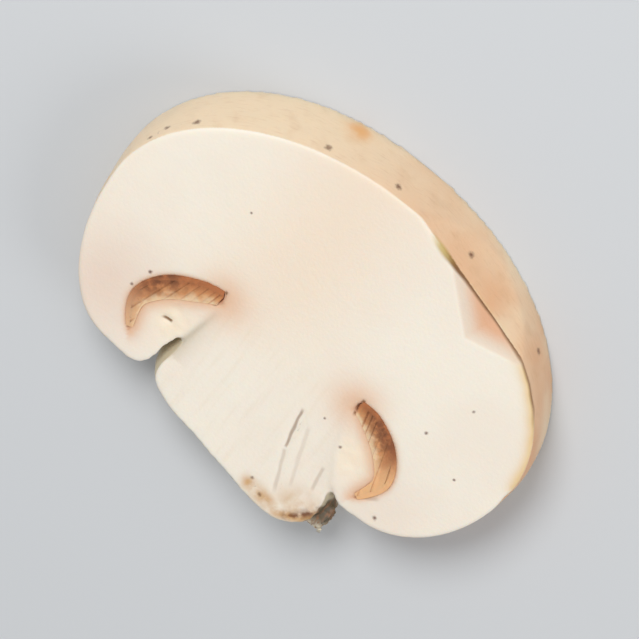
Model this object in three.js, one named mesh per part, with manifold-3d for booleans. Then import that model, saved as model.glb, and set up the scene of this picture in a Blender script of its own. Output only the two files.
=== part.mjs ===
// A lengthwise slice of a closed white button mushroom, lying on its lower cut face.
// Millimetres, +Z up: +X runs across the cap and +Y from the foot of the stem to the crown.
// The mushroom is shaped whole, about its own axis, and the slice is cut out of it.
import * as THREE from "three";
import { mergeVertices } from "three/addons/utils/BufferGeometryUtils.js";
import Module from "manifold-3d";

// The slice and how the mushroom's axis lies in it.
const SLICE_THICKNESS = 7;
const AXIS_LEAN = THREE.MathUtils.degToRad(6); // crown upwards
const AXIS_HEIGHT = 3; // over the lower cut, at the widest level of the cap
const CROWN_SKEW = 0.22; // how far the crown swells below the axis, per millimetre of depth
const DRIFT_FROM = -14; // level over which the cap drifts to the left below the upper cut
const DRIFT_BLEND = 12; // reach to either side over which the two halves' drifts pass into each other
const UPPER_CUT = SLICE_THICKNESS - AXIS_HEIGHT; // over the axis

// The whole mushroom. Level 0 is the widest level of the cap.
const CAP_RISE = 18.6;
const FOOT_LEVEL = -18;
const SLIT = 0.5; // between the rolled margin of the cap and the stem
const POCKET_MOUTH = 0.5; // depth of a gill pocket at the stem, as a share of its greatest depth
const HALVES_MEET = 0.7; // sine of the turn on either side over which the halves pass into each other

// The two halves differ a little. Points are [distance from the axis, level].
const LEFT = {
  capRadius: 26.9,
  lobe: [17, -15.9],
  lobeInside: [[14, -16.1], [12.2, -14.8]],
  stem: [[9.9, -2.9], [9.3, -5.8], [10.5, -9.2], [11.4, -12.4]],
  foot: [[11.6, -14.6], [10.7, -16.4], [7.6, -17.9], [3.6, -18.1]],
  gillLine: [[10.1, -3.6], [12.3, -4.6], [15.4, -6.8], [17, -9.8], [15.9, -13.2]],
  gillDepth: 2.4,
  drift: 0.19, // at the crown, per millimetre of depth
};
const RIGHT = {
  capRadius: 27.7,
  lobe: [17, -13.9],
  lobeInside: [[15.6, -14], [14.4, -13.8]],
  stem: [[9.8, -2.8], [9.9, -6], [11.3, -9.6], [13.2, -12.9]],
  foot: [[14, -15.6], [13.7, -18.1], [11.4, -20], [8.4, -20], [5.4, -19.1]],
  gillLine: [[10, -3.4], [12, -3.9], [15, -5.8], [16.8, -8.7], [15.7, -12]],
  gillDepth: 2.3,
  drift: 0.1,
};

// The gills: thin blades that stand on a root layer under the cap and point at the stem.
const GILL_GAP = 0.3;
const GILL_ROOT = 0.7;
const BLADE_THICKNESS = 0.6;
const BLADE_PITCH = THREE.MathUtils.degToRad(4.6);
const BLADES_EACH_WAY = 8;
const GILL_START = 0.05;
const GILL_END = 0.88;

// Damage: the shaved upper edge right of the crown, the shallow chip in it, and the torn skin that
// hangs in the notch beside the foot. Places are [x, y] or [x, y, z] in the slice.
const SHAVED_FROM = [4.4, 16.4];
const SHAVED_TO = [19.8, 11.6];
const SHAVED_ANGLE = THREE.MathUtils.degToRad(28);
const CHIP = { centre: [15, 13.3], radius: 4, depth: 0.8 };
const TEAR = { centre: [13.6, -17.6, 4.4], reach: [1.4, 2, 2], raggedness: 0.22 };

const LATHE_SEGMENTS = 120;
const DOME_STEPS = 28;
const LOBE_STEPS = 14;
const CURVE_STEPS = 6;
const STEM_STEPS = 18;
const GILL_STEPS = 10;
const CHIP_SIDES = 24;
const TEAR_DETAIL = 5;
const MERGE_DISTANCE = 1e-4;

const wasm = await Module();
wasm.setup();

function solid(geometry) {
  const bare = geometry.clone();
  bare.deleteAttribute("normal");
  bare.deleteAttribute("uv");
  const merged = mergeVertices(bare, MERGE_DISTANCE);
  const mesh = new wasm.Mesh({
    numProp: 3,
    vertProperties: merged.attributes.position.array,
    triVerts: new Uint32Array(merged.index.array),
  });
  return new wasm.Manifold(mesh);
}

function geometryOf(body) {
  const { vertProperties, triVerts } = body.getMesh();
  const geometry = new THREE.BufferGeometry();
  geometry.setAttribute("position", new THREE.BufferAttribute(vertProperties, 3));
  geometry.setIndex(new THREE.BufferAttribute(triVerts, 1));
  geometry.computeVertexNormals();
  return geometry;
}

const vectors = (points) => points.map(([r, y]) => new THREE.Vector2(r, y));

// Points along a smooth curve, without its first one.
function along(points, steps) {
  return new THREE.SplineCurve(vectors(points)).getPoints(steps).slice(1);
}

// One edge of a gill pocket, from the stem outwards: +1 is its roof under the cap, -1 its floor on
// the rolled margin. The pocket is deepest halfway and runs out to a point at the margin.
function pocketEdge(half, face, inset = 0, from = 0, to = 1) {
  const line = new THREE.SplineCurve(vectors(half.gillLine));
  return Array.from({ length: GILL_STEPS + 1 }, (_, i) => {
    const t = THREE.MathUtils.lerp(from, to, i / GILL_STEPS);
    const swell = POCKET_MOUTH + (1 - POCKET_MOUTH) * Math.sin(Math.PI * t);
    const taper = Math.sqrt(1 - t ** 3);
    const depth = Math.max((half.gillDepth / 2) * swell * taper - inset, 0);
    const tangent = line.getTangent(t);
    const outwards = new THREE.Vector2(-tangent.y, tangent.x).multiplyScalar(face * depth);
    return line.getPoint(t).add(outwards);
  });
}

// The outline of one half of the mushroom: from the crown round the cap, up the slit, round the
// gill pocket and down the stem to the middle of the foot. It is handed back from the foot up, so
// that the turned faces point outwards.
function halfOutline(half) {
  const [lobeRadius, lobeLevel] = half.lobe;
  const lobeWidth = half.capRadius - lobeRadius;
  const dome = new THREE.EllipseCurve(0, 0, half.capRadius, CAP_RISE, Math.PI / 2, 0, true);
  const side = new THREE.EllipseCurve(lobeRadius, 0, lobeWidth, -lobeLevel, 0, -Math.PI / 2, true);
  const slitSide = half.stem.slice(1).reverse().map(([r, y]) => [r + SLIT, y]);
  return [
    ...dome.getPoints(DOME_STEPS),
    ...side.getPoints(LOBE_STEPS).slice(1),
    ...along([half.lobe, ...half.lobeInside, slitSide[0]], CURVE_STEPS),
    ...along(slitSide, CURVE_STEPS).slice(0, -1),
    ...pocketEdge(half, -1).slice(1),
    ...pocketEdge(half, 1).reverse().slice(1),
    ...along([...half.stem, ...half.foot, [0, FOOT_LEVEL]], STEM_STEPS),
  ].reverse();
}

// Turns the outlines about the axis: the left half on one side, the right half on the other, passing
// into each other near the plane between them.
function turned(left, right) {
  const geometry = new THREE.LatheGeometry(right, LATHE_SEGMENTS);
  const position = geometry.getAttribute("position");
  for (let i = 0; i < position.count; i++) {
    const turn = (Math.floor(i / right.length) / LATHE_SEGMENTS) * 2 * Math.PI;
    const share = THREE.MathUtils.smoothstep(Math.sin(turn), -HALVES_MEET, HALVES_MEET);
    const point = left[i % right.length].clone().lerp(right[i % right.length], share);
    position.setXYZ(i, point.x * Math.sin(turn), point.y, point.x * Math.cos(turn));
  }
  return geometry;
}

// The mushroom lies through the two cuts that make the slice.
const lie = new THREE.Matrix4().makeRotationX(AXIS_LEAN).setPosition(0, 0, AXIS_HEIGHT);

// Lets a turned form swell downwards at the crown and drift to the left under the upper cut, as the
// mushroom grew, and lays it through the cuts.
function grown(geometry) {
  const position = geometry.getAttribute("position");
  for (let i = 0; i < position.count; i++) {
    const x = position.getX(i);
    const level = position.getY(i);
    const depth = position.getZ(i);
    const rightness = THREE.MathUtils.smoothstep(x, -DRIFT_BLEND, DRIFT_BLEND);
    const pull = THREE.MathUtils.lerp(LEFT.drift, RIGHT.drift, rightness);
    const drift = pull * THREE.MathUtils.smoothstep(level, DRIFT_FROM, CAP_RISE);
    const skew = CROWN_SKEW * THREE.MathUtils.smoothstep(level, 0, CAP_RISE);
    position.setXYZ(i, x - drift * (UPPER_CUT - depth), level - skew * depth, depth);
  }
  return geometry.applyMatrix4(lie);
}

// What is left of a body between the two cuts, on one or both sides of the axis.
function cut(body, fromX, toX) {
  const reach = 4 * CAP_RISE;
  const box = new THREE.BoxGeometry(toX - fromX, reach, SLICE_THICKNESS);
  return body.intersect(solid(box.translate((fromX + toX) / 2, 0, SLICE_THICKNESS / 2)));
}

// The largest body of a cut, without the scraps that the knife leaves loose.
function whole(body) {
  return body.decompose().sort((a, b) => b.volume() - a.volume())[0];
}

// A block whose inner face is the shaved edge.
function shaving() {
  const from = new THREE.Vector3(...SHAVED_FROM, SLICE_THICKNESS);
  const to = new THREE.Vector3(...SHAVED_TO, SLICE_THICKNESS);
  const edge = to.clone().sub(from);
  const length = edge.length();
  edge.normalize();
  const outwards = new THREE.Vector3(-edge.y, edge.x, 0).multiplyScalar(Math.cos(SHAVED_ANGLE));
  outwards.z = Math.sin(SHAVED_ANGLE);
  const across = edge.clone().cross(outwards);
  const thickness = SLICE_THICKNESS;
  const place = new THREE.Matrix4()
    .makeBasis(edge, outwards, across)
    .setPosition(from.lerp(to, 0.5).addScaledVector(outwards, thickness / 2));
  return solid(new THREE.BoxGeometry(2 * length, thickness, 2 * thickness).applyMatrix4(place));
}

function chip() {
  const ball = new THREE.SphereGeometry(1, CHIP_SIDES, CHIP_SIDES / 2);
  ball.scale(CHIP.radius, CHIP.radius, CHIP.depth).translate(...CHIP.centre, SLICE_THICKNESS);
  return solid(ball);
}

// The torn skin: a lump whose surface is pulled in and out by waves that cross each other.
function tear() {
  const lump = new THREE.IcosahedronGeometry(1, TEAR_DETAIL);
  const position = lump.getAttribute("position");
  const point = new THREE.Vector3();
  for (let i = 0; i < position.count; i++) {
    point.fromBufferAttribute(position, i);
    const waves = Math.sin(5 * point.x + 4 * point.z) + Math.cos(6 * point.y - 3 * point.z);
    point.multiplyScalar(1 + (TEAR.raggedness / 2) * waves);
    position.setXYZ(i, point.x, point.y, point.z);
  }
  return solid(lump.scale(...TEAR.reach).translate(...TEAR.centre));
}

function makeFlesh() {
  const mushroom = solid(grown(turned(halfOutline(LEFT), halfOutline(RIGHT))));
  const damaged = mushroom.add(tear()).subtract(shaving()).subtract(chip());
  return cut(damaged, -2 * CAP_RISE, 2 * CAP_RISE);
}

// The gills of one half: the root layer, turned about the axis, and the blades that stand on it.
function makeGills(half, facing) {
  const roof = pocketEdge(half, 1, GILL_GAP, GILL_START, GILL_END);
  const floor = pocketEdge(half, -1, GILL_GAP, GILL_START, GILL_END);
  const rootUnder = pocketEdge(half, 1, GILL_GAP + GILL_ROOT, GILL_START, GILL_END);
  const rootOutline = [...rootUnder, ...roof.toReversed(), rootUnder[0]];
  let body = solid(grown(new THREE.LatheGeometry(rootOutline, LATHE_SEGMENTS)));
  const sunk = pocketEdge(half, 1, GILL_GAP + GILL_ROOT / 2, GILL_START, GILL_END);
  const blade = new THREE.ExtrudeGeometry(new THREE.Shape([...sunk, ...floor.reverse()]), {
    depth: BLADE_THICKNESS,
    bevelEnabled: false,
  }).translate(0, 0, -BLADE_THICKNESS / 2);
  for (let i = -BLADES_EACH_WAY; i <= BLADES_EACH_WAY; i++) {
    const turn = facing > 0 ? i * BLADE_PITCH : Math.PI + i * BLADE_PITCH;
    body = body.add(solid(grown(blade.clone().rotateY(turn))));
  }
  return whole(facing > 0 ? cut(body, 0, 2 * CAP_RISE) : cut(body, -2 * CAP_RISE, 0));
}

const fleshMaterial = new THREE.MeshStandardMaterial({ color: 0xf1e8db, roughness: 0.55, metalness: 0 });
const gillMaterial = new THREE.MeshStandardMaterial({ color: 0xb5754a, roughness: 0.7, metalness: 0 });

const slice = new THREE.Group();
function piece(name, body, material) {
  const mesh = new THREE.Mesh(geometryOf(body), material);
  mesh.name = name;
  slice.add(mesh);
}
piece("flesh", makeFlesh(), fleshMaterial);
piece("gills_left", makeGills(LEFT, -1), gillMaterial);
piece("gills_right", makeGills(RIGHT, 1), gillMaterial);

// The origin is under the middle of the slice, on the surface that it lies on.
const box = new THREE.Box3().setFromObject(slice);
const middle = box.getCenter(new THREE.Vector3());
slice.position.set(-middle.x, -middle.y, -box.min.z);

export default slice;
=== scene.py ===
import math
import random

import bmesh
import bpy
from mathutils import Color, Matrix, Vector, kdtree, noise


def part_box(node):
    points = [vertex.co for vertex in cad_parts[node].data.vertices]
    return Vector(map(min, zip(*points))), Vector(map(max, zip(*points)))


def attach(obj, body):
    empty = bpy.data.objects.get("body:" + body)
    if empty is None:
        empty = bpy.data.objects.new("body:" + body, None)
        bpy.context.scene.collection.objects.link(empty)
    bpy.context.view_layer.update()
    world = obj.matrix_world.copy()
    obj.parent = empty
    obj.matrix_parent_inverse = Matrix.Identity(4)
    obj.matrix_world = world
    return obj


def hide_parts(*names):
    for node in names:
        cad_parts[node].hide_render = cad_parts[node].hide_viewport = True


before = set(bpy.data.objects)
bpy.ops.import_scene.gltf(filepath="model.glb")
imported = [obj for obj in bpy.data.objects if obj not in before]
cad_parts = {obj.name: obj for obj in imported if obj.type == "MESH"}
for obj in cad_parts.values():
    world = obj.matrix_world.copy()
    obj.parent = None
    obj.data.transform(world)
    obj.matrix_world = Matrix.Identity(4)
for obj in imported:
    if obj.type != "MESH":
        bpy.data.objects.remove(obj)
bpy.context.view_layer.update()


# Flesh: the cap and the thick stem of a closed white button mushroom, one grown piece of firm, moist
# tissue under a thin tan skin. The outlines of its two halves are turned about its axis, and the slice
# is cut out of it by two knife strokes. Shapes are in millimetres until they are laid in the frame.
MM = 0.001
THICKNESS = 7.0
AXIS_LEAN = math.radians(6)
AXIS_HEIGHT = 3.0
CROWN_SKEW = 0.22
DRIFT_FROM = -14.0
DRIFT_BLEND = 12.0
CAP_RISE = 18.6
FOOT_LEVEL = -18.0
POCKET_MOUTH = 0.5
HALVES_MEET = 0.7
LEFT = {
    "cap_radius": 26.9,
    "lobe": (17, -15.9),
    "lobe_inside": [(14, -16.1), (12.6, -15.1), (12.1, -13.7)],
    "stem": [(10, -2.9), (9.9, -5.8), (10.6, -9.0), (11.1, -12.4)],
    "foot": [(11.4, -14.6), (10.7, -16.4), (7.6, -17.9), (3.6, -18.1)],
    "gill_line": [(10.1, -3.6), (12.3, -4.6), (15.4, -6.8), (17, -9.8), (15.9, -13.2)],
    "gill_depth": 2.4,
    "drift": 0.19,
    "slit": (0.85, 0.2, 0.1),
    "crease": 0.8,
}
RIGHT = {
    "cap_radius": 27.7,
    "lobe": (17, -13.9),
    "lobe_inside": [(15.6, -14), (14.4, -13.8)],
    "stem": [(9.8, -2.8), (9.9, -6), (11.3, -9.6), (13.2, -12.9)],
    "foot": [(14, -15.6), (13.7, -18.1), (11.4, -20), (8.4, -20), (5.4, -19.1)],
    "gill_line": [(10, -3.4), (12, -3.9), (15, -5.8), (16.8, -8.7), (15.7, -12)],
    "gill_depth": 2.3,
    "drift": 0.1,
    "slit": (0.45, 0.12, 0.1),
    "crease": 0.15,
}
SHAVED_FROM = Vector((4.5, 16.8, THICKNESS))
SHAVED_TO = Vector((19.9, 12.0, THICKNESS))
SHAVED_ANGLE = math.radians(28)
TEAR_CENTRE = Vector((13.6, -17.6, 4.4))
TEAR_REACH = Vector((1.3, 1.9, 1.9))
TEAR_FULLNESS = 0.95
TEAR_WAVES = ((0.3, 1.7), (0.4, 4.5))
QUARTER_STEPS = 40
SLIT_STEPS = 18
STEM_STEPS = 48
TURN_STEPS = 240
SEAM = 1e-4
TINY = 1e-6
VOXEL = 0.245


def smoothstep(value, low, high):
    share = min(max((value - low) / (high - low), 0.0), 1.0)
    return share * share * (3 - 2 * share)


def on_line(points, share):
    """The place at that share of a smooth line through the points."""
    last = len(points) - 1
    span = min(int(share * last), last - 1)
    around = [min(max(i, 0), last) for i in range(span - 1, span + 3)]
    before, start, end, after = (Vector(points[i]) for i in around)
    passed = share * last - span
    leaving = (end - before) / 2
    arriving = (after - start) / 2
    curl = 2 * start - 2 * end + leaving + arriving
    bend = curl * passed + 3 * (end - start) - 2 * leaving - arriving
    return start + (leaving + bend * passed) * passed


def smooth_line(points, steps):
    """Points along a smooth line, without its first one."""
    return [on_line(points, i / steps) for i in range(1, steps + 1)]


def pocket_depth(half, share):
    """Half the depth of a gill pocket at that share of the way from the stem to its tip."""
    swell = POCKET_MOUTH + (1 - POCKET_MOUTH) * math.sin(math.pi * share)
    return half["gill_depth"] / 2 * swell * math.sqrt(1 - share**3)


def pocket_heading(half, share, step=0.01):
    """Which way a gill pocket runs at that share of its length."""
    ahead = on_line(half["gill_line"], min(share + step, 1.0))
    behind = on_line(half["gill_line"], max(share - step, 0.0))
    return (ahead - behind).normalized()


def pocket_edge(half, face, inset=0.0, start=0.0, end=1.0, steps=24):
    """One edge of a gill pocket, from the stem outwards: its roof under the cap, or its floor at -1."""
    edge = []
    for i in range(steps + 1):
        share = start + (end - start) * i / steps
        heading = pocket_heading(half, share)
        depth = max(pocket_depth(half, share) - inset, 0.0)
        edge.append(on_line(half["gill_line"], share) + face * depth * Vector((-heading.y, heading.x)))
    return edge


def half_outline(half):
    """From the crown round the cap, up the slit, round the gill pocket and down the stem."""
    radius = half["cap_radius"]
    lobe, level = half["lobe"]
    slit_side = [(r + gap, y) for (r, y), gap in zip(half["stem"][:0:-1], half["slit"])]
    quarter = [math.pi / 2 * i / QUARTER_STEPS for i in range(QUARTER_STEPS + 1)]
    return [
        *(Vector((radius * math.sin(a), CAP_RISE * math.cos(a))) for a in quarter),
        *(Vector((lobe + (radius - lobe) * math.cos(a), level * math.sin(a))) for a in quarter[1:]),
        *smooth_line([half["lobe"], *half["lobe_inside"], slit_side[0]], SLIT_STEPS),
        *smooth_line(slit_side, SLIT_STEPS)[:-1],
        *pocket_edge(half, -1)[1:],
        *pocket_edge(half, 1)[-2::-1],
        *smooth_line([*half["stem"], *half["foot"], (0, FOOT_LEVEL)], STEM_STEPS),
    ]


def cut_away(bm, place, outwards):
    """Cuts off what lies beyond a plane, and closes the cut face."""
    everything = bm.verts[:] + bm.edges[:] + bm.faces[:]
    cut = bmesh.ops.bisect_plane(
        bm, geom=everything, plane_co=place, plane_no=outwards, clear_outer=True
    )
    edges = [item for item in cut["geom_cut"] if isinstance(item, bmesh.types.BMEdge)]
    bmesh.ops.edgeloop_fill(bm, edges=edges)


lie = Matrix.Translation((0, 0, AXIS_HEIGHT)) @ Matrix.Rotation(AXIS_LEAN, 4, "X")


def drift(x, level, depth):
    """How far the mushroom leans to the left under the upper cut."""
    right_share = smoothstep(x, -DRIFT_BLEND, DRIFT_BLEND)
    pull = LEFT["drift"] + right_share * (RIGHT["drift"] - LEFT["drift"])
    return pull * smoothstep(level, DRIFT_FROM, CAP_RISE) * (THICKNESS - AXIS_HEIGHT - depth)


def grow(bm):
    """Skews a turned form at the crown, leans it to the left, and lays it through the cuts."""
    for vert in bm.verts:
        x, level, depth = vert.co
        skew = CROWN_SKEW * smoothstep(level, 0, CAP_RISE) * depth
        vert.co = (x - drift(x, level, depth), level - skew, depth)
    bm.transform(lie)


mushroom = bmesh.new()
right_side = mushroom.verts.layers.float_vector.new("right_side")
outline = []
for left, right in zip(half_outline(LEFT), half_outline(RIGHT)):
    vert = mushroom.verts.new(left.to_3d())
    vert[right_side] = right.to_3d()
    outline.append(vert)
outline += [mushroom.edges.new(pair) for pair in zip(outline, outline[1:])]
bmesh.ops.spin(
    mushroom, geom=outline, axis=(0, 1, 0), angle=2 * math.pi, steps=TURN_STEPS, use_merge=True
)
bmesh.ops.remove_doubles(mushroom, verts=mushroom.verts, dist=SEAM)
for vert in mushroom.verts:
    distance = max(math.hypot(vert.co.x, vert.co.z), TINY)
    share = smoothstep(vert.co.x / distance, -HALVES_MEET, HALVES_MEET)
    place = Vector((distance, vert.co.y, 0)).lerp(vert[right_side], share)
    vert.co = (vert.co.x * place.x / distance, place.y, vert.co.z * place.x / distance)
grow(mushroom)
bmesh.ops.recalc_face_normals(mushroom, faces=mushroom.faces)
cut_away(mushroom, (0, 0, 0), (0, 0, -1))
cut_away(mushroom, (0, 0, THICKNESS), (0, 0, 1))
shaved_way = (SHAVED_TO - SHAVED_FROM).normalized()
level_out = Vector((-shaved_way.y, shaved_way.x, 0))
shaved_out = level_out * math.cos(SHAVED_ANGLE) + Vector((0, 0, math.sin(SHAVED_ANGLE)))
cut_away(mushroom, SHAVED_FROM, shaved_out)

# The edge of the upper cut round the crown, as a row of close points.
RIM_SPACING = 0.05
ON_UPPER_CUT = THICKNESS - 1e-3
rim = []
for edge in mushroom.edges:
    start, end = (vert.co for vert in edge.verts)
    if min(start.z, end.z) > ON_UPPER_CUT and min(start.y, end.y) > 0:
        steps = math.ceil((end - start).length / RIM_SPACING)
        rim += [start.lerp(end, i / steps) for i in range(steps)]
rim_tree = kdtree.KDTree(len(rim))
for i, place in enumerate(rim):
    rim_tree.insert(place.to_2d().to_3d(), i)
rim_tree.balance()

# The slice is laid in the frame by the side of its cap and by its crown.
flesh_low, flesh_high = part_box("flesh")
shift = Vector((
    flesh_low.x / MM - min(v.co.x for v in mushroom.verts),
    flesh_high.y / MM - max(v.co.y for v in mushroom.verts),
    0,
))
lay = Matrix.Scale(MM, 4) @ Matrix.Translation(shift)

# The torn shred in the notch beside the foot: a ragged lump, which the even mesh joins to the flesh.
lump = bmesh.ops.create_icosphere(mushroom, subdivisions=5, radius=1)["verts"]
for vert in lump:
    fullness = TEAR_FULLNESS
    for height, closeness in TEAR_WAVES:
        fullness += height * noise.noise(vert.co * closeness)
    vert.co = TEAR_CENTRE + fullness * vert.co * TEAR_REACH
mushroom.transform(lay)
flesh_mesh = bpy.data.meshes.new("flesh_visual")
mushroom.to_mesh(flesh_mesh)
mushroom.free()


def add_piece(name, mesh):
    piece = bpy.data.objects.new(name, mesh)
    bpy.context.scene.collection.objects.link(piece)
    return piece


flesh = add_piece("flesh_visual", flesh_mesh)
even_mesh = flesh.modifiers.new("even_mesh", "REMESH")
even_mesh.mode = "VOXEL"
even_mesh.voxel_size = VOXEL * MM
evened = flesh.evaluated_get(bpy.context.evaluated_depsgraph_get())
flesh_mesh = bpy.data.meshes.new_from_object(evened)
flesh.modifiers.clear()
flesh.data = flesh_mesh

# The marks of growth, the knife and handling. Pairs of numbers say where a region begins and where it
# is full: a cut face by its tilt, the skin by how far out it is, and the others in millimetres.
CUT_TILT = (0.55, 0.85)
SKIN_FROM = (0.78, 0.86)
ROLLED_SKIN = 0.8
ROLL_WIDTH = 4
CLEAR_OF_GILLS = (0.2, 1.0)
STEM_EDGE = (-0.2, 0.3)
STEM_TOP = (2, 5)
FOOT_TOP = (15.5, 17.5)
SHRED_REACH = 2.4
VEIL = {-1: Vector((12.8, -9.4)), 1: Vector((12.9, -8.4))}
VEIL_REACH = 2.6
VEIL_EDGE = (0, 0.8)
POCKET_ROWS = 60
SLIT_BELOW_MOUTH = Vector((0.3, 0.9))

# How the surfaces are worked: passes of smoothing, the height and length of the waves, for the rough
# ones also the level that they sink from, and the creases where the slits close.
SMOOTHING = 4
SIDE_WAVES = (0.1, 6)
SIDE_RIPPLES = (0.05, 1.9)
CUT_WAVES = (0.05, 8)
CUT_RIPPLES = (0.012, 1.5)
VEIL_ROUGH = (0.12, 0.9)
FOOT_ROUGH = (0.12, 0.9, 0.5)
SHRED_ROUGH = (0.7, 0.6, 0.3)
FIBRE_HEIGHT = 0.015
FIBRES_ACROSS = 1.5
FIBRES_ALONG = 0.16
FIBRE_LAYER = 3
SLIT_FADE = (0.0, 0.6)
SLIT_END = 0.8
CREASE_WIDTH = 0.35
CREASE_DEPTH = 0.2
FLANK_WIDTH = 1.3
FLANK_DEPTH = 0.15

# Lines are drawn on the upper cut: a path, half its width, its depth and how dark it is. Specks are a
# place and a radius.
LINES = [
    ([(4.7, -8.0), (5.3, -11.0), (5.9, -13.4)], 0.24, 0.22, 0.55),
    ([(5.8, -13.0), (6.6, -14.8), (8.0, -18.2)], 0.32, 0.12, 0.22),
    ([(10.3, -11.9), (10.5, -13.4), (10.9, -15.2)], 0.3, 0.1, 0.25),
    ([(6.3, -9.0), (7.6, -13.0), (9.0, -16.6)], 0.35, 0.05, 0.14),
    ([(-13.0, -10.1), (-12.4, -9.95), (-11.8, -9.9)], 0.26, 0.2, 0.9),
    ([(14.6, -12.0), (15.8, -11.6), (17.1, -10.8)], 0.35, 0.05, 0.25),
    # The last two are the crevices at the gills' mouths: shallow grooves with painted shade.
    ([(-9.55, -5.4), (-9.4, -4.2), (-9.25, -3.0)], 0.3, 0.15, 0.8),
    ([(9.3, -5.1), (9.25, -3.9), (9.2, -2.7)], 0.3, 0.15, 0.8),
]
LINE_WOBBLE = 0.12
WOBBLE_LENGTHS = (1.1, 1.3)
LINE_START = (0, 0.12)
LINE_END = (0.85, 1)
LINE_FADE = (1.3, 1.8)
SPECKS = [
    (-17.0, -7.0, 7.0, 0.26),
    (-17.7, -9.5, 7.0, 0.22),
    (18.9, 4.1, 7.0, 0.2),
    (16.4, -1.4, 7.0, 0.22),
    (21.9, -3.6, 7.0, 0.2),
    (18.0, -12.8, 7.0, 0.3),
    (10.3, -8.8, 7.0, 0.24),
    (7.1, -7.4, 7.0, 0.18),
    (-12.4, 5.7, 7.0, 0.17),
    (-23.6, 9.9, 6.0, 0.5),
    (-25.0, 6.7, 5.5, 0.4),
    (-25.6, 4.6, 5.8, 0.36),
    (-10.8, 17.6, 6.0, 0.5),
    (-2.1, 18.0, 5.5, 0.46),
    (20.1, 12.3, 3.0, 0.46),
    (8.4, 17.2, 4.5, 0.44),
    (5.2, -18.3, 7.0, 0.24),
    (6.9, -19.2, 6.8, 0.26),
]
SPECK_REACH = 4
FAR = 9

# The chip in the upper cut, the nick in the right side, and the brown line along the rim of the upper
# cut, with how strong it is from left to right.
CHIP = [Vector((7.0, 15.9)), Vector((13.2, 10.0)), Vector((18.7, 11.3))]
CHIP_ABOVE = 8
CHIP_STEP = 0.08
CHIP_STEP_WIDTH = 0.3
CHIP_SLOPE = 0.2
CHIP_DEPTH = 0.75
NICK = Vector((26.9, -1.5, 6.0))
NICK_DEPTH = 0.4
NICK_REACH = 0.9
RIM_STRENGTH = [(3.5, 0.0), (5.2, 0.8), (7.5, 1.0), (11, 0.8), (18, 0.75), (23, 0.8), (25.8, 0.0)]
RIM_ABOVE = 4
RIM_TILT = -0.3
RIM_DROP = 0.1
RIM_WOBBLE = (0.12, 1.6)
RIM_WIDTH = 0.46
RIM_SWELL = 0.8
RIM_SWELL_AT = 5.5
RIM_SWELL_REACH = 1.5
GLOW_WIDTH = 0.9
GLOW_FROM = (15, 21)

# Blushes are a place, a reach and a strength. Stains are places or paths with their reach.
WARM_AT = -5
WARM_REACH = 8
WARM_FROM = (-12, 4)
BLUSHES = ((Vector((-20, -11)), 6.5, 1.0), (Vector((18, -12)), 5, 0.4))
HALO_OVER_ROOF = 0.5
HALO_UNDER_FLOOR = 1.0
HALO_STRENGTH = 0.75
HALO_UNDER_SKIN = 0.6
MOUTH_HALO_REACH = 2.6
MOUTH_HALO_STRENGTH = 0.65
GILL_WALL = (-0.05, 0.2)
GILL_FLOOR_STRENGTH = 0.4
CREASE_SHADE_STRENGTH = 0.35
FLANK_SHADE_STRENGTH = 0.55
FOOT_TAN = Vector((10.6, -17.8))
TAN_REACH = 2.0
TAN_STRENGTH = 0.8
FOOT_STAIN = [(5.2, -18.9), (7.2, -19.2), (9.5, -19.4), (11.8, -18.4), (13.0, -17.2)]
STAIN_WIDTH = 0.85
FOOT_SIDE_STAIN = 0.45
FOOT_SCORCH = [(10.5, -19.2), (11.2, -18.7), (11.8, -17.9), (12.6, -16.6)]
SCORCH_WIDTH = 0.5
SCORCH_HEIGHT = (2.5, 5.5)
TUFT_FROM = (0.1, 0.4)
TUFT_UP_TO = (6.3, 6.7)
TUFT_FADE = 0.7
TUFT_SHADE_FROM = (-18.9, -17.2)
TUFT_SHADE_HEIGHT = (2, 4.5)
ORANGE_SPOT = Vector((-9.1, 19.0, 1.5))
ORANGE_REACH = 1.5
TAN_SKIN_FROM = (-18, 20)


def path_offset(place, path):
    """How far a place is to the left of a path in the plane, and the share of the path passed there."""
    nearest, passed = 1e9, 0.0
    for i, (start, end) in enumerate(zip(path, path[1:])):
        run = end - start
        share = min(max((place - start).dot(run) / run.length_squared, 0.0), 1.0)
        away = place - start - share * run
        if away.length < abs(nearest):
            nearest = math.copysign(away.length, run.cross(away))
            passed = (i + share) / (len(path) - 1)
    return nearest, passed


def hump(distance, width):
    return math.exp(-((distance / width) ** 2))


def waves(place, height, length, level=1.0):
    return height * (level + noise.noise(place / length))


def flat_path(points):
    return [Vector(point) for point in points]


def between(pairs, value):
    """The level at a value, on straight stretches between pairs of value and level."""
    for (low, start), (high, end) in zip(pairs, pairs[1:]):
        if low <= value <= high:
            return start + (end - start) * (value - low) / (high - low)
    return 0.0


def chip_reach(flat):
    """How far a place is inside the two inner edges of the chip."""
    reach = []
    for start, end in zip(CHIP, CHIP[1:]):
        run = (end - start).normalized()
        reach.append(run.cross(flat - start))
    return min(reach)


stand = lie.inverted()


def in_mushroom(place):
    """A place of the slice as distance from the axis and level, its turn, and how far out it is."""
    x, y, z = stand @ place
    level = y + CROWN_SKEW * smoothstep(y, 0, CAP_RISE) * z
    x += drift(x, level, z)
    radius = max(math.hypot(x, z), TINY)
    right_share = smoothstep(x / radius, -HALVES_MEET, HALVES_MEET)
    cap = LEFT["cap_radius"] + right_share * (RIGHT["cap_radius"] - LEFT["cap_radius"])
    lobe = Vector(LEFT["lobe"]).lerp(Vector(RIGHT["lobe"]), right_share)
    fullness = 0.0
    if level >= 0:
        fullness = math.hypot(radius / cap, level / CAP_RISE)
    elif radius > lobe.x:
        # The skin thins out where the margin rolls in.
        fullness = math.hypot((radius - lobe.x) / (cap - lobe.x), level / lobe.y)
        fullness *= ROLLED_SKIN + (1 - ROLLED_SKIN) * smoothstep(radius - lobe.x, 0, ROLL_WIDTH)
    return Vector((radius, level)), math.atan2(z, abs(x)), fullness


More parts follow.
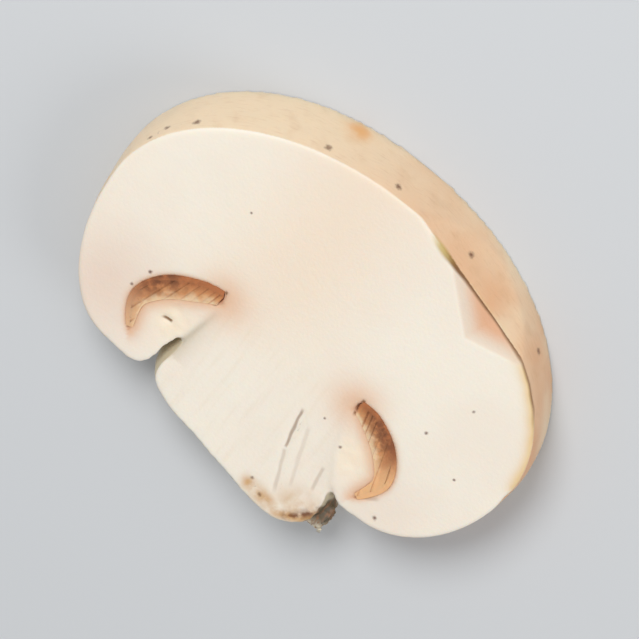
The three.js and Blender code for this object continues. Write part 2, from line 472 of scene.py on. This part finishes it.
pockets = {}
for half, facing in ((LEFT, -1), (RIGHT, 1)):
    rows = []
    tree = kdtree.KDTree(POCKET_ROWS + 1)
    for i in range(POCKET_ROWS + 1):
        share = i / POCKET_ROWS
        middle = on_line(half["gill_line"], share)
        rows.append((middle, pocket_depth(half, share), pocket_heading(half, share)))
        tree.insert(middle.to_3d(), i)
    tree.balance()
    pockets[facing] = rows, tree


def beside_pocket(grown, facing):
    """How far a place is outside the gill pocket, and whether it is on the side of its roof."""
    rows, tree = pockets[facing]
    _, index, away = tree.find(grown.to_3d())
    middle, depth, heading = rows[index]
    way = grown - middle
    across = heading.cross(way)
    behind = -heading.dot(way)
    if index == 0 and behind > 0:
        return math.hypot(behind, max(abs(across) - depth, 0.0)), across > 0
    return away - depth, across > 0


slits = {}
for half, facing in ((LEFT, -1), (RIGHT, 1)):
    slit_top = Vector(half["gill_line"][0]) - SLIT_BELOW_MOUTH
    slit_down = zip(half["stem"][1:], half["slit"][::-1])
    slits[facing] = [slit_top, *(Vector((r + gap / 2, y)) for (r, y), gap in slit_down)]
lines = [(flat_path(path), *rest) for path, *rest in LINES]
stain_path = flat_path(FOOT_STAIN)
scorch_path = flat_path(FOOT_SCORCH)
bm = bmesh.new()
bm.from_mesh(flesh_mesh)
for _ in range(SMOOTHING):
    bmesh.ops.smooth_vert(
        bm, verts=bm.verts, factor=0.5, use_axis_x=True, use_axis_y=True, use_axis_z=True
    )
bm.normal_update()

surface_tree = kdtree.KDTree(len(bm.verts))
for vert in bm.verts:
    surface_tree.insert(vert.co / MM - shift, vert.index)
surface_tree.balance()
speck_tree = kdtree.KDTree(len(SPECKS))
for i, (*place, radius) in enumerate(SPECKS):
    speck_tree.insert(surface_tree.find(place)[0], i)
speck_tree.balance()

SHARES = (
    "skin", "warm", "blush", "veil", "halo", "gill_wall", "stain", "stem", "stem_side_and_shade", "crease",
    "tuft", "tuft_top_shade", "shade", "chip", "rim_glow", "orange", "scorch",
)
WAYS = ("line", "speck", "rim", "skin_way")
marks = {name: [] for name in SHARES + WAYS}
for vert in bm.verts:
    place = vert.co / MM - shift
    normal = vert.normal.copy()
    flat = place.to_2d()
    grown, turn, fullness = in_mushroom(place)
    facing = -1 if place.x < 0 else 1
    half = LEFT if facing < 0 else RIGHT
    face = smoothstep(abs(normal.z), *CUT_TILT)
    upper = face if normal.z > 0 else 0.0
    skin = smoothstep(fullness, *SKIN_FROM) * (1 - face)
    beside, roof_side = beside_pocket(grown, facing)
    off_slit, slit_share = path_offset(grown, slits[facing])
    on_stem = (1 - smoothstep(off_slit, *STEM_EDGE)) * smoothstep(-grown.y, *STEM_TOP)
    foot = smoothstep(-flat.y, *FOOT_TOP) * (1 - face)
    shred = hump((place - TEAR_CENTRE).length, SHRED_REACH)
    veil = hump((grown - VEIL[facing]).length, VEIL_REACH) * smoothstep(off_slit, *VEIL_EDGE)

    # Waves in the grown sides, a rough foot and shreds, and cut faces that the knife left nearly even.
    open_side = smoothstep(beside, *CLEAR_OF_GILLS)
    fibre_place = Vector((flat.x * FIBRES_ACROSS, flat.y * FIBRES_ALONG, FIBRE_LAYER))
    sink = (1 - face) * open_side * (waves(place, *SIDE_WAVES) + waves(place, *SIDE_RIPPLES))
    sink += foot * waves(place, *FOOT_ROUGH)
    sink += shred * waves(place, *SHRED_ROUGH)
    sink += face * (waves(place, *CUT_WAVES) + waves(place, *CUT_RIPPLES))
    sink += face * on_stem * waves(fibre_place, FIBRE_HEIGHT, 1)
    sink += face * veil * waves(place, *VEIL_ROUGH)

    # The crease where a slit closes, and the stem's flank that falls towards it: both sink, and both
    # also get painted shade.
    slit_fade = smoothstep(slit_share, *SLIT_FADE) if slit_share < 1 else hump(off_slit, SLIT_END)
    crease = face * slit_fade * hump(off_slit, CREASE_WIDTH)
    flank_and_shade = face * slit_fade * on_stem * hump(off_slit, FLANK_WIDTH) * slit_share
    sink += half["crease"] * (CREASE_DEPTH * crease + FLANK_DEPTH * flank_and_shade)
    place -= normal * sink

    # The drawn lines and the chip of the upper cut, and the nick in the right side.
    line = (FAR, 0.0, 0.0)
    inside = -FAR
    if upper > 0:
        inside = chip_reach(flat)
        if inside > 0 and flat.y > CHIP_ABOVE:
            step = CHIP_STEP * smoothstep(inside, 0, CHIP_STEP_WIDTH)
            place.z -= upper * min(step + CHIP_SLOPE * inside, CHIP_DEPTH)
        wobble = LINE_WOBBLE * Vector([noise.noise(place / length) for length in WOBBLE_LENGTHS])
        for path, width, depth, darkness in lines:
            away, share = path_offset(flat + wobble, path)
            if abs(away / width) < abs(line[0]):
                ends = smoothstep(share, *LINE_START) * (1 - smoothstep(share, *LINE_END))
                strength = upper * ends * (1 - smoothstep(abs(away / width), *LINE_FADE))
                line = (away / width, strength * darkness, 0.0)
                place.z -= depth * strength * hump(away, width)
    place.x -= NICK_DEPTH * hump((place - NICK).length, NICK_REACH)
    vert.co = (place + shift) * MM
    marks["line"].append(line)
    marks["chip"].append(inside if flat.y > CHIP_ABOVE else -FAR)

    near, index, away = speck_tree.find(place)
    radius = SPECKS[index][3]
    speck = (place - near) / radius if away < SPECK_REACH * radius else normal * FAR
    marks["speck"].append(tuple(speck))

    # The line along the rim lies on the edge of the cut, and on the floor of the chip.
    rim_away = rim_tree.find(flat.to_3d())[2]
    rim_drop = 0.0 if inside > 0 else max(THICKNESS - RIM_DROP - place.z, 0.0)
    rim_off = -rim_away if face > 0.5 else math.hypot(rim_away, rim_drop)
    rim_off += waves(place, *RIM_WOBBLE, level=0.0)
    has_rim = flat.y > RIM_ABOVE and normal.z > RIM_TILT
    rim_strength = between(RIM_STRENGTH, flat.x) if has_rim else 0.0
    rim_width = RIM_WIDTH * (1 + RIM_SWELL * hump(flat.x - RIM_SWELL_AT, RIM_SWELL_REACH))
    marks["rim"].append((rim_off / rim_width, rim_strength, 0.0))
    marks["rim_glow"].append(hump(rim_off, GLOW_WIDTH) * smoothstep(flat.x, *GLOW_FROM) * upper)

    # The tints of the cut faces and of the pockets' walls, with painted shade in the creases, on the
    # stem's flank and on the stem's side.
    marks["warm"].append(hump(flat.x - WARM_AT, WARM_REACH) * smoothstep(flat.y, *WARM_FROM))
    blushes = [strength * hump((flat - at).length, reach) for at, reach, strength in BLUSHES]
    marks["blush"].append(max(blushes))
    marks["veil"].append(veil)
    halo_reach = HALO_OVER_ROOF if roof_side else HALO_UNDER_FLOOR
    halo = HALO_STRENGTH * hump(max(beside, 0.0), halo_reach)
    mouth_away = (grown - Vector(half["gill_line"][0])).length
    mouth_halo = MOUTH_HALO_STRENGTH * hump(mouth_away, MOUTH_HALO_REACH)
    marks["halo"].append(max(halo, mouth_halo) * (1 - HALO_UNDER_SKIN * skin))
    wall_strength = 1.0 if roof_side else GILL_FLOOR_STRENGTH
    marks["gill_wall"].append((1 - smoothstep(beside, *GILL_WALL)) * wall_strength)
    # Painted shade in the creases and on the stem's flank beside them.
    marks["crease"].append(half["crease"] * (CREASE_SHADE_STRENGTH * crease + FLANK_SHADE_STRENGTH * flank_and_shade))
    marks["stem"].append(on_stem)
    # The stem's side: its own beige, greyed and darkened partly as painted shade.
    marks["stem_side_and_shade"].append((1 - face) * on_stem)

    # The skin, which is tanned towards the right, and the stains of the foot and its shred, with
    # painted shade on the top of the shred under the notch.
    marks["skin"].append(skin)
    marks["shade"].append(smoothstep(flat.x, *TAN_SKIN_FROM))
    marks["skin_way"].append((math.atan2(grown.y, grown.x) * CAP_RISE, turn * grown.x, 0.0))
    marks["orange"].append(hump((place - ORANGE_SPOT).length, ORANGE_REACH))
    stain = upper * hump(path_offset(flat, stain_path)[0], STAIN_WIDTH)
    tan = TAN_STRENGTH * upper * hump((flat - FOOT_TAN).length, TAN_REACH)
    marks["stain"].append(max(stain, tan, FOOT_SIDE_STAIN * foot))
    scorch = hump(path_offset(flat, scorch_path)[0], SCORCH_WIDTH)
    marks["scorch"].append(scorch * smoothstep(place.z, *SCORCH_HEIGHT))
    cut_tuft = upper * smoothstep(place.z, *TUFT_UP_TO)
    marks["tuft"].append(smoothstep(shred, *TUFT_FROM) * (1 - TUFT_FADE * cut_tuft))
    # Painted shade on the top of the shred, under the notch.
    shaded_tuft_top = smoothstep(flat.y, *TUFT_SHADE_FROM) * smoothstep(place.z, *TUFT_SHADE_HEIGHT)
    marks["tuft_top_shade"].append(shaded_tuft_top)
bm.to_mesh(flesh_mesh)
bm.free()
for name in SHARES:
    flesh_mesh.attributes.new(name, "FLOAT", "POINT").data.foreach_set("value", marks[name])
for name in WAYS:
    values = [part for way in marks[name] for part in way]
    flesh_mesh.attributes.new(name, "FLOAT_VECTOR", "POINT").data.foreach_set("vector", values)
flesh_mesh.shade_smooth()


def srgb(red, green, blue):
    """A colour as the eye names it, from 0 to 255, for a shader."""
    return (*Color((red / 255, green / 255, blue / 255)).from_srgb_to_scene_linear(), 1.0)


class Finish:
    """A material and short ways to add its nodes."""

    def __init__(self, name):
        self.material = bpy.data.materials.new(name)
        self.material.use_nodes = True
        self.tree = self.material.node_tree
        self.shader = self.tree.nodes["Principled BSDF"]
        self.coords = self.tree.nodes.new("ShaderNodeTexCoord").outputs["Object"]

    def put(self, value, socket):
        if isinstance(value, bpy.types.NodeSocket):
            self.tree.links.new(value, socket)
        else:
            socket.default_value = value

    def node(self, kind, output, settings=None, **inputs):
        made = self.tree.nodes.new("ShaderNode" + kind)
        for name, value in (settings or {}).items():
            setattr(made, name, value)
        for name, value in inputs.items():
            self.put(value, made.inputs[name.replace("_", " ")])
        return made.outputs[output]

    def mark(self, name, output="Fac"):
        return self.node("Attribute", output, {"attribute_name": name})

    def grain(self, size, detail=3.0, stretch=(1, 1, 1)):
        """Noise whose patches are about that many millimetres across."""
        place = self.node("Mapping", "Vector", Vector=self.coords, Scale=stretch)
        return self.node("TexNoise", "Fac", Vector=place, Scale=1 / (size * MM), Detail=detail)

    def span(self, value, low, high, top=1.0):
        """A soft step: nothing at the low value, and the top share at the high one."""
        settings = {"interpolation_type": "SMOOTHSTEP"}
        ends = {"From_Min": low, "From_Max": high, "To_Max": top}
        return self.node("MapRange", "Result", settings, Value=value, **ends)

    def reckon(self, operation, *values):
        made = self.tree.nodes.new("ShaderNodeMath")
        made.operation = operation
        for value, socket in zip(values, made.inputs):
            self.put(value, socket)
        return made.outputs[0]

    def times(self, first, second):
        return self.reckon("MULTIPLY", first, second)

    def plus(self, first, second):
        return self.reckon("ADD", first, second)

    def drawn(self, name):
        """How strongly a line shows, from its attribute: offset over half its width, and strength."""
        parts = self.tree.nodes.new("ShaderNodeSeparateXYZ")
        self.put(self.mark(name, "Vector"), parts.inputs[0])
        off = self.reckon("ABSOLUTE", parts.outputs[0])
        return self.times(self.span(off, 1.0, 0.2), parts.outputs[1])

    def mix(self, share, first, second):
        made = self.tree.nodes.new("ShaderNodeMix")
        made.data_type = "RGBA"
        for value, socket in ((share, 0), (first, 6), (second, 7)):
            self.put(value, made.inputs[socket])
        return made.outputs[2]

    def bump(self, height, distance, under=None):
        made = self.tree.nodes.new("ShaderNodeBump")
        made.inputs["Strength"].default_value = 1.0
        made.inputs["Distance"].default_value = distance * MM
        self.tree.links.new(height, made.inputs["Height"])
        if under:
            self.tree.links.new(under, made.inputs["Normal"])
        return made.outputs["Normal"]


CREAM = srgb(243, 234, 219)
WARM_CREAM = srgb(240, 221, 199)
BLUSH = srgb(231, 209, 192)
VEIL_CREAM = srgb(248, 230, 204)
STEM_BEIGE = srgb(226, 208, 178)
# Painted shade for the creases where the slits close.
CREASE_SHADE = srgb(172, 158, 128)
HALO = srgb(224, 168, 124)
STEM_SIDE_AND_SHADE = srgb(206, 193, 164)
SKIN_PALE = srgb(237, 214, 182)
SKIN_TAN = srgb(224, 173, 131)
SKIN_FLECK = srgb(190, 142, 98)
GILL_BROWN = srgb(166, 106, 68)
STAIN = srgb(206, 162, 108)
CHIP_PEACH = srgb(224, 172, 134)
SPOT_ORANGE = srgb(230, 170, 106)
TUFT_SHADE_OLIVE = srgb(70, 58, 36)
TUFT_BROWN = srgb(128, 82, 48)
TUFT_PALE = srgb(234, 220, 194)
CHIP_EDGE_SHADE = srgb(222, 200, 178)
LINE_BROWN = srgb(132, 88, 44)
SCORCH = srgb(112, 58, 26)
UMBER = srgb(90, 42, 18)
RIM_OLIVE = srgb(190, 164, 84)
RIM_BROWN = srgb(128, 86, 46)
RIM_GLOW = srgb(226, 190, 126)

finish = Finish("mushroom_flesh")
clouds = finish.grain(11, 2)
patches = finish.grain(2.2, 4)
fine = finish.grain(0.35, 4)
fibres = finish.grain(1, 4, (1.4, 0.15, 1))
cream = finish.mix(finish.span(clouds, 0.4, 0.7, 0.15), CREAM, BLUSH)
cream = finish.mix(finish.times(finish.mark("warm"), 0.8), cream, WARM_CREAM)
cream = finish.mix(finish.times(finish.mark("blush"), 0.8), cream, BLUSH)
cream = finish.mix(finish.times(finish.mark("veil"), 0.8), cream, VEIL_CREAM)
stem_fibres = finish.times(finish.mark("stem"), finish.span(fibres, 0.45, 0.75, 0.16))
cream = finish.mix(stem_fibres, cream, STEM_BEIGE)
# Painted shade in the creases where the slits close and on the stem's flank that falls towards them.
cream = finish.mix(finish.mark("crease"), cream, CREASE_SHADE)
cream = finish.mix(finish.times(finish.mark("rim_glow"), 0.85), cream, RIM_GLOW)
cream = finish.mix(finish.mark("halo"), cream, HALO)
chip = finish.mark("chip")
# Painted shade along the chip's inner step, then a peach tint on its floor.
cream = finish.mix(finish.span(chip, -0.15, 0.3, 0.6), cream, CHIP_EDGE_SHADE)
cream = finish.mix(finish.span(chip, 0.3, 2.4, 0.9), cream, CHIP_PEACH)
# The stem's side: its own beige, greyed and darkened partly as painted shade.
side = finish.mix(finish.mark("stem_side_and_shade"), cream, STEM_SIDE_AND_SHADE)
fibril_place = finish.node(
    "Mapping", "Vector", Vector=finish.mark("skin_way", "Vector"), Scale=(0.2, 1.0, 1)
)
fibrils = finish.node("TexNoise", "Fac", Vector=fibril_place, Scale=4.0, Detail=5.0)
tanned = finish.times(finish.mark("shade"), finish.span(clouds, 0.25, 0.65))
skin = finish.mix(tanned, SKIN_PALE, SKIN_TAN)
skin = finish.mix(finish.span(fibrils, 0.5, 0.85, 0.25), skin, SKIN_FLECK)
skin = finish.mix(finish.span(patches, 0.5, 0.8, 0.2), skin, SKIN_FLECK)
orange_spot = finish.times(finish.mark("orange"), finish.span(patches, 0.25, 0.6))
skin = finish.mix(orange_spot, skin, SPOT_ORANGE)
colour = finish.mix(finish.mark("skin"), side, skin)
stained = finish.times(finish.mark("stain"), finish.span(patches, 0.2, 0.6))
colour = finish.mix(stained, colour, STAIN)
scorched = finish.times(finish.mark("scorch"), finish.span(finish.grain(0.9, 5), 0.3, 0.6, 0.9))
colour = finish.mix(scorched, colour, SCORCH)
shreds = finish.grain(0.6, 3, (1.6, 0.5, 1))
# The shred: pale below, brown streaks, and painted shade in dark olive at its top under the notch.
tuft = finish.mix(finish.mark("tuft_top_shade"), TUFT_PALE, TUFT_SHADE_OLIVE)
tuft = finish.mix(finish.span(shreds, 0.45, 0.62, 0.8), tuft, TUFT_BROWN)
colour = finish.mix(finish.times(finish.mark("tuft"), 0.9), colour, tuft)
colour = finish.mix(finish.mark("gill_wall"), colour, GILL_BROWN)
rim_colour = finish.mix(finish.span(finish.mark("shade"), 0.66, 0.77), RIM_OLIVE, RIM_BROWN)
colour = finish.mix(finish.drawn("rim"), colour, rim_colour)
colour = finish.mix(finish.drawn("line"), colour, LINE_BROWN)
speck_way = finish.mark("speck", "Vector")
speck_off = finish.node("VectorMath", "Value", {"operation": "LENGTH"}, Vector=speck_way)
speck_off = finish.plus(speck_off, finish.span(fine, 0.3, 0.7, 0.4))
colour = finish.mix(finish.span(speck_off, 1.5, 0.3, 0.85), colour, UMBER)
finish.put(colour, finish.shader.inputs["Base Color"])
relief = finish.bump(fine, 0.03)
finish.put(finish.bump(fibrils, 0.02, relief), finish.shader.inputs["Normal"])
finish.shader.inputs["Roughness"].default_value = 0.5
finish.shader.inputs["Subsurface Weight"].default_value = 0.35
finish.shader.inputs["Subsurface Radius"].default_value = (1.0, 0.72, 0.52)
finish.shader.inputs["Subsurface Scale"].default_value = 1.3 * MM
finish.shader.inputs["Specular IOR Level"].default_value = 0.35
flesh_mesh.materials.clear()
flesh_mesh.materials.append(finish.material)
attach(flesh, "root")
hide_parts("flesh")


# Gills: thin brown blades that hang under the cap and point at the stem, packed side by side in the
# pocket between the cap and its rolled margin. Each is a soft sheet rooted in the roof of the pocket,
# sliced with the flesh and sunk a hair below its two cut faces.
GILL_OVERLAP = 0.15
GILL_ROOT = 0.4
BLADE_PITCH = math.radians(1.3)
BLADE_THICKNESS = 0.31
BLADES_EACH_WAY = 30
ROOF_START = 0.0
FLOOR_START = 0.08
GILL_END = 0.97
GILL_SUNK = 0.06
BLADE_ROWS = (0.0, 0.33, 0.67, 1.0)
ROOT_SHARE = 0.15
BLADE_SPREAD = (0.75, 1.15)
BLADE_STRAY = 0.2
PATCH_REACH = 0.2
BLADE_BROWN = srgb(180, 110, 64)
BLADE_ORANGE = srgb(214, 150, 98)
BLADE_LIGHT = srgb(238, 182, 130)
BLADE_PALE = srgb(238, 202, 162)
BLADE_DARK_AND_SHADE = srgb(150, 88, 50)
GILL_PATCH = srgb(112, 64, 36)


def gill_pocket(half, facing, seed, tail_light, patch_at):
    """The blades of one pocket and their root layer, with a lighter tail and a dark patch."""
    draw = random.Random(seed)
    bm = bmesh.new()
    across = bm.verts.layers.float.new("across")
    along = bm.verts.layers.float.new("along")
    tone = bm.verts.layers.float.new("tone")
    tail = bm.verts.layers.float.new("tail")
    patch = bm.verts.layers.float.new("patch")
    roof = pocket_edge(half, 1, -GILL_OVERLAP, ROOF_START, GILL_END)
    root = pocket_edge(half, 1, GILL_ROOT, ROOF_START, GILL_END)
    floor = pocket_edge(half, -1, -GILL_OVERLAP, FLOOR_START, GILL_END)
    loop = [bm.verts.new(place.to_3d()) for place in [*roof, *root[::-1]]]
    for vert, share in zip(loop, [*range(len(roof)), *range(len(root))[::-1]]):
        vert[along] = share / (len(roof) - 1)
        vert[tail] = tail_light * vert[along]
        vert[patch] = hump(vert[along] - patch_at, PATCH_REACH)
    layer = [bm.edges.new(pair) for pair in zip(loop, [*loop[1:], loop[0]])]
    swing = BLADES_EACH_WAY * BLADE_PITCH
    bmesh.ops.rotate(bm, verts=loop, matrix=Matrix.Rotation(-swing, 3, "Y"))
    bmesh.ops.spin(bm, geom=loop + layer, axis=(0, 1, 0), angle=2 * swing, steps=2 * BLADES_EACH_WAY)
    for i in range(-BLADES_EACH_WAY, BLADES_EACH_WAY + 1):
        rows = []
        shade = draw.random()
        for share in BLADE_ROWS:
            row = [bm.verts.new(high.lerp(low, share).to_3d()) for high, low in zip(root, floor)]
            for k, vert in enumerate(row):
                vert[across] = ROOT_SHARE + (1 - ROOT_SHARE) * share
                vert[along] = k / (len(row) - 1)
                vert[tail] = tail_light * vert[along]
                vert[patch] = (1 - share) * hump(vert[along] - patch_at, PATCH_REACH)
                vert[tone] = shade
            rows.append(row)
        sheet = []
        for upper_row, lower_row in zip(rows, rows[1:]):
            for k in range(len(roof) - 1):
                corners = (upper_row[k], upper_row[k + 1], lower_row[k + 1], lower_row[k])
                sheet.append(bm.faces.new(corners))
        near = [vert for row in rows for vert in row]
        thick = BLADE_THICKNESS * draw.uniform(*BLADE_SPREAD)
        grown = bmesh.ops.extrude_face_region(bm, geom=sheet)["geom"]
        far = [item for item in grown if isinstance(item, bmesh.types.BMVert)]
        bmesh.ops.translate(bm, verts=far, vec=(0, 0, thick))
        bmesh.ops.translate(bm, verts=far + near, vec=(0, 0, -thick / 2))
        turn = i * BLADE_PITCH + draw.uniform(-BLADE_STRAY, BLADE_STRAY) * BLADE_PITCH
        bmesh.ops.rotate(bm, verts=far + near, matrix=Matrix.Rotation(turn, 3, "Y"))
    if facing < 0:
        bm.transform(Matrix.Rotation(math.pi, 4, "Y"))
    grow(bm)
    bmesh.ops.recalc_face_normals(bm, faces=bm.faces)
    cut_away(bm, (0, 0, GILL_SUNK), (0, 0, -1))
    cut_away(bm, (0, 0, THICKNESS - GILL_SUNK), (0, 0, 1))
    bm.transform(lay)
    bmesh.ops.recalc_face_normals(bm, faces=bm.faces)
    return bm


gill_finish = Finish("gill_brown")
streaks = gill_finish.grain(0.7, 4, (1.3, 0.3, 1))
speckle = gill_finish.grain(0.5, 4)
# The blades keep their colour near the two cut faces and turn dark deeper in the slice: painted shade
# between the blades.
height = gill_finish.node("SeparateXYZ", "Z", Vector=gill_finish.coords)
near_lower_cut = gill_finish.span(height, 1.0 * MM, 0.2 * MM)
near_upper_cut = gill_finish.span(height, 6.0 * MM, 6.8 * MM)
unshaded_near_cuts = gill_finish.plus(near_lower_cut, near_upper_cut)
down = gill_finish.mark("across")
brown = gill_finish.mix(gill_finish.span(down, 0.1, 0.6), BLADE_BROWN, BLADE_ORANGE)
brown = gill_finish.mix(gill_finish.times(gill_finish.mark("tone"), 0.3), brown, BLADE_BROWN)
brown = gill_finish.mix(gill_finish.span(streaks, 0.45, 0.7, 0.35), brown, BLADE_BROWN)
ragged = gill_finish.plus(gill_finish.span(gill_finish.grain(1.4, 2), 0.3, 0.7, 0.3), down)
brown = gill_finish.mix(gill_finish.span(ragged, 0.65, 1.15, 0.95), brown, BLADE_PALE)
brown = gill_finish.mix(gill_finish.span(gill_finish.mark("along"), 0.6, 1.0, 0.6), brown, BLADE_PALE)
brown = gill_finish.mix(gill_finish.span(speckle, 0.58, 0.75, 0.25), brown, BLADE_DARK_AND_SHADE)
brown = gill_finish.mix(gill_finish.span(gill_finish.mark("tail"), 0.5, 0.75, 0.9), brown, BLADE_LIGHT)
blotches = gill_finish.span(gill_finish.grain(0.9, 4), 0.3, 0.6)
brown = gill_finish.mix(gill_finish.times(gill_finish.mark("patch"), blotches), brown, GILL_PATCH)
# Painted shade: the blades darken away from the cut faces.
brown = gill_finish.mix(unshaded_near_cuts, BLADE_DARK_AND_SHADE, brown)
gill_finish.put(brown, gill_finish.shader.inputs["Base Color"])
gill_finish.put(gill_finish.bump(speckle, 0.06), gill_finish.shader.inputs["Normal"])
gill_finish.shader.inputs["Roughness"].default_value = 0.6
gill_finish.shader.inputs["Subsurface Weight"].default_value = 0.2
gill_finish.shader.inputs["Subsurface Radius"].default_value = (1.0, 0.5, 0.25)
gill_finish.shader.inputs["Subsurface Scale"].default_value = 0.6 * MM

for node_name, *pocket in (
    ("gills_left", LEFT, -1, 3, 0.6, 0.5),
    ("gills_right", RIGHT, 1, 4, 1.0, 0.36),
):
    gill_bm = gill_pocket(*pocket)
    gill_mesh = bpy.data.meshes.new(node_name + "_visual")
    gill_bm.to_mesh(gill_mesh)
    gill_bm.free()
    gill_mesh.materials.append(gill_finish.material)
    gills = add_piece(node_name + "_visual", gill_mesh)
    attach(gills, "root")
    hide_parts(node_name)


# The stage: a plain pale floor under the slice, soft light from a large box on the crown's side and a
# weaker one from the right, and a long lens that looks down on the slice from the crown's side.
FLOOR_SIZE = 1.2
FLOOR_GREY = srgb(206, 208, 210)
KEY_LIGHT = ((-0.2, 0.26, 0.42), 0.3, 1.74)
SIDE_LIGHT = ((0.42, 0.06, 0.26), 0.25, 0.6)
SKY = (0.96, 0.98, 1, 1)
SKY_STRENGTH = 0.45
TILT = math.radians(25)
ROLL = math.radians(39)
LENS = 600
DISTANCE = 1.125
floor_bm = bmesh.new()
bmesh.ops.create_grid(floor_bm, x_segments=1, y_segments=1, size=FLOOR_SIZE)
floor_mesh = bpy.data.meshes.new("floor")
floor_bm.to_mesh(floor_mesh)
floor_bm.free()
floor_finish = Finish("pale_floor")
floor_finish.shader.inputs["Base Color"].default_value = FLOOR_GREY
floor_finish.shader.inputs["Roughness"].default_value = 0.7
floor_mesh.materials.append(floor_finish.material)
floor = add_piece("floor", floor_mesh)


def softbox(name, place, size, power):
    light = bpy.data.lights.new(name, "AREA")
    light.shape = "DISK"
    light.size = size
    light.energy = power
    box = bpy.data.objects.new(name, light)
    aim = Vector(place).to_track_quat("Z", "Y").to_matrix().to_4x4()
    box.matrix_world = Matrix.Translation(place) @ aim
    bpy.context.scene.collection.objects.link(box)


softbox("key", *KEY_LIGHT)
softbox("side", *SIDE_LIGHT)
world = bpy.data.worlds.new("studio")
world.use_nodes = True
world.node_tree.nodes["Background"].inputs["Color"].default_value = SKY
world.node_tree.nodes["Background"].inputs["Strength"].default_value = SKY_STRENGTH
bpy.context.scene.world = world
bpy.context.scene.view_settings.view_transform = "Standard"

camera_back = Vector((0, math.sin(TILT), math.cos(TILT)))
unrolled = Vector((1, 0, 0))
camera_right = unrolled * math.cos(ROLL) + camera_back.cross(unrolled) * math.sin(ROLL)
camera_turn = Matrix((camera_right, camera_back.cross(camera_right), camera_back)).transposed()
camera_data = bpy.data.cameras.new("camera")
camera_data.lens = LENS
camera_data.clip_start = 0.01
camera = bpy.data.objects.new("camera", camera_data)
camera_place = Vector((0, 0, THICKNESS / 2 * MM)) + camera_back * DISTANCE
camera.matrix_world = Matrix.Translation(camera_place) @ camera_turn.to_4x4()
bpy.context.scene.collection.objects.link(camera)
bpy.context.scene.camera = camera
